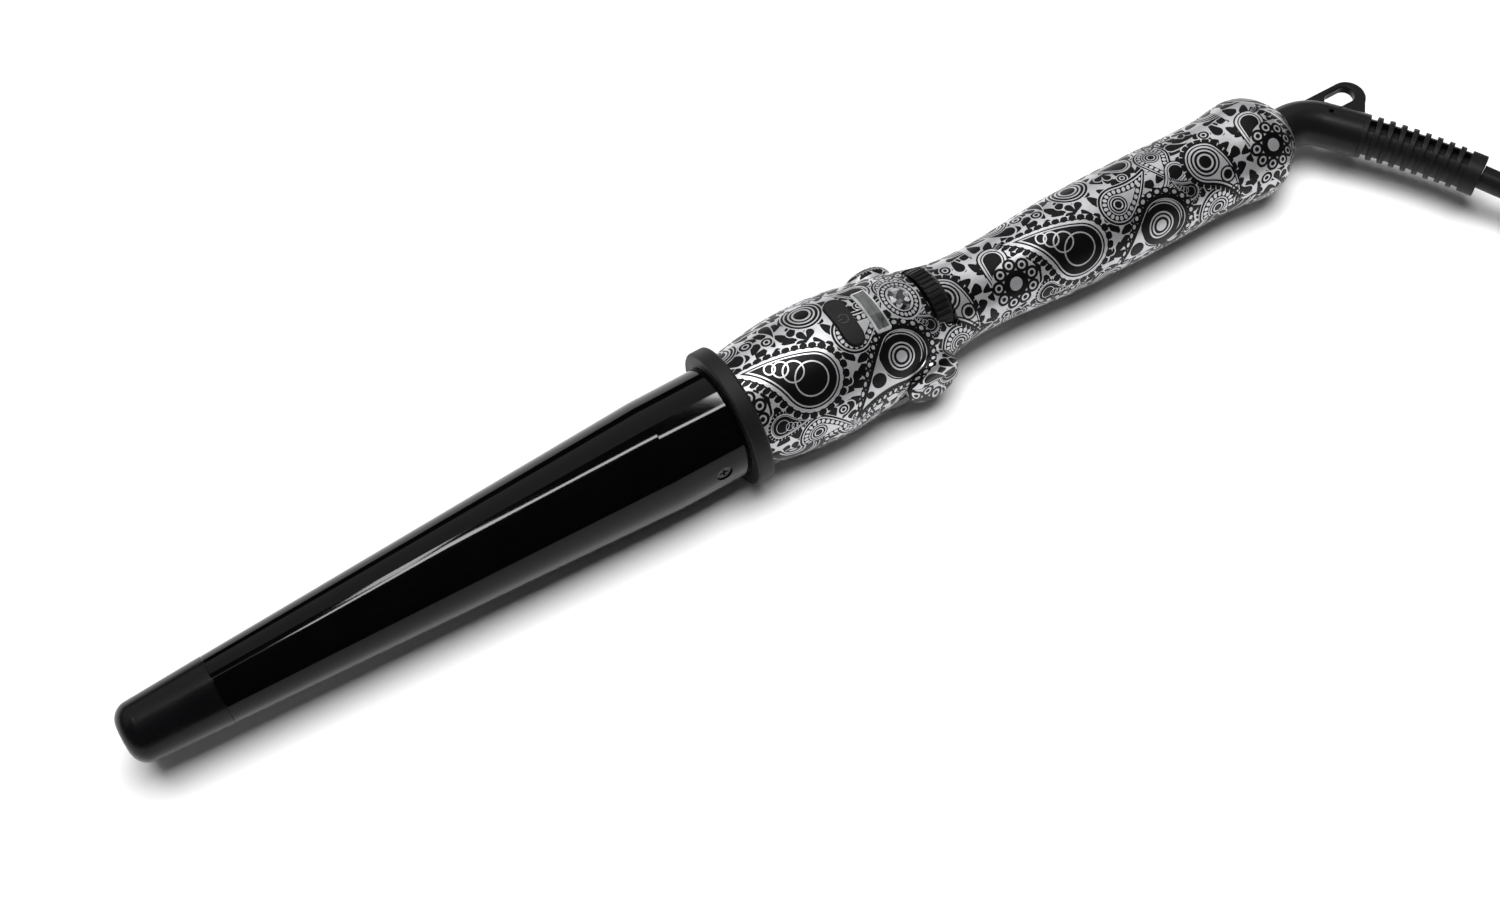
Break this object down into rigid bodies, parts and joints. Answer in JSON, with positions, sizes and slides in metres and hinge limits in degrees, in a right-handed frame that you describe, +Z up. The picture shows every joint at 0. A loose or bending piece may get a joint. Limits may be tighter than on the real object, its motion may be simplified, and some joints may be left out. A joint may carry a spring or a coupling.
{
  "type": "curling wand",
  "caption": "Hair curling wand: tapered barrel, guard ring, printed handle with button, window, thumb wheel, fold-out stand, swivel elbow with hang loop, mains cord.",
  "frame": {"origin": "middle of the wand's box, without its cord, on the surface it lies on", "axes": "+X from the tip along the wand to the cord, +Y to the left of that, +Z up through the power button"},
  "size_m": [0.567, 0.1034, 0.0427],
  "materials": {
    "barrel_coating": "glossy black ceramic coating on aluminium",
    "tip_plastic": "satin black heat-resistant plastic",
    "blackened_steel": "blackened, machined",
    "insulating_plastic": "glass-filled, matte",
    "guard_rubber": "matte, fine speckle",
    "heater_ceramic": "white alumina",
    "bare_aluminium": "as machined",
    "sensor_glass": "small glass bead",
    "bare_steel": "zinc plated",
    "sleeved_wire": "glass-fibre sleeve",
    "printed_shell": "silver print with black paisley, clear coat",
    "board_laminate": "green solder mask",
    "capacitor_case": "dipped film capacitor",
    "chip_plastic": "moulded epoxy",
    "black_plastic": "satin, moulded",
    "button_rubber": "soft-touch, matte",
    "display_plastic": "dark display face",
    "clear_window": "clear, lightly smoked",
    "clear_stone": "clear, bevelled",
    "dial_plastic": "moulded, ribbed",
    "stand_plastic": "satin, moulded",
    "elbow_plastic": "satin, fine moulded grain",
    "contact_brass": "nickel-free, polished",
    "relief_rubber": "flexible, matte",
    "cord_jacket": "smooth jacket, slight sheen",
    "tie_strap": "woven hook-and-loop",
    "plug_plastic": "moulded",
    "sleeve_plastic": "moulded sleeve"
  },
  "bodies": {
    "root": {"barrel": "barrel_coating", "cool_tip": "tip_plastic", "barrel_screws": "blackened_steel", "barrel_seat": "insulating_plastic", "guard_ring": "guard_rubber", "heater_plates": "heater_ceramic", "pressure_shoes": "bare_aluminium", "temperature_sensor": "sensor_glass", "thermal_fuse": "bare_steel", "heater_leads": "sleeved_wire", "handle_upper_shell": "printed_shell", "handle_lower_shell": "printed_shell", "shell_screws": "bare_steel", "circuit_board": "board_laminate", "film_capacitor": "capacitor_case", "triac": "chip_plastic", "controller_chip": "chip_plastic", "tact_switch": "chip_plastic", "display_module": "display_plastic", "display_lens": "clear_window", "badge_jewel": "clear_stone", "potentiometer": "chip_plastic", "stand_pins": "bare_steel", "swivel_bush": "black_plastic", "contact_brushes": "contact_brass", "brush_holder": "insulating_plastic", "supply_leads": "sleeved_wire"},
    "power_button": {"power_button": "button_rubber", "switch_plunger": "black_plastic"},
    "temperature_dial": {"temperature_dial": "dial_plastic", "dial_shaft": "black_plastic"},
    "stand": {"stand_bail": "stand_plastic"},
    "swivel": {"swivel_elbow": "elbow_plastic", "swivel_retainer": "bare_steel", "slip_rings": "contact_brass", "strain_relief": "relief_rubber", "cord_in_relief": "cord_jacket", "mains_cord": "cord_jacket", "cord_tail": "cord_jacket", "cord_coil": "cord_jacket", "cord_tie": "tie_strap", "plug_body": "plug_plastic", "plug_pins": "contact_brass", "plug_sleeves": "sleeve_plastic"}
  },
  "joints": [
    {"name": "button_press", "type": "slide", "parent": "root", "child": "power_button", "axis": [-0.0262, 0, -0.9997], "range_m": [0, 0.0008], "stiffness_N_per_m": 2200},
    {"name": "dial_turn", "type": "hinge", "parent": "root", "child": "temperature_dial", "pos_m": [0.04394, 0, 0.02362], "axis": [0.9997, 0, -0.0262], "range_deg": [0, 270]},
    {"name": "stand_fold", "type": "hinge", "parent": "root", "child": "stand", "pos_m": [0.03474, 0, 0.01606], "axis": [0, -1, 0], "range_deg": [0, 82]},
    {"name": "cord_swivel", "type": "hinge", "parent": "root", "child": "swivel", "pos_m": [0.16176, 0, 0.01533], "axis": [0.9997, 0, -0.0262], "continuous": true}
  ]
}
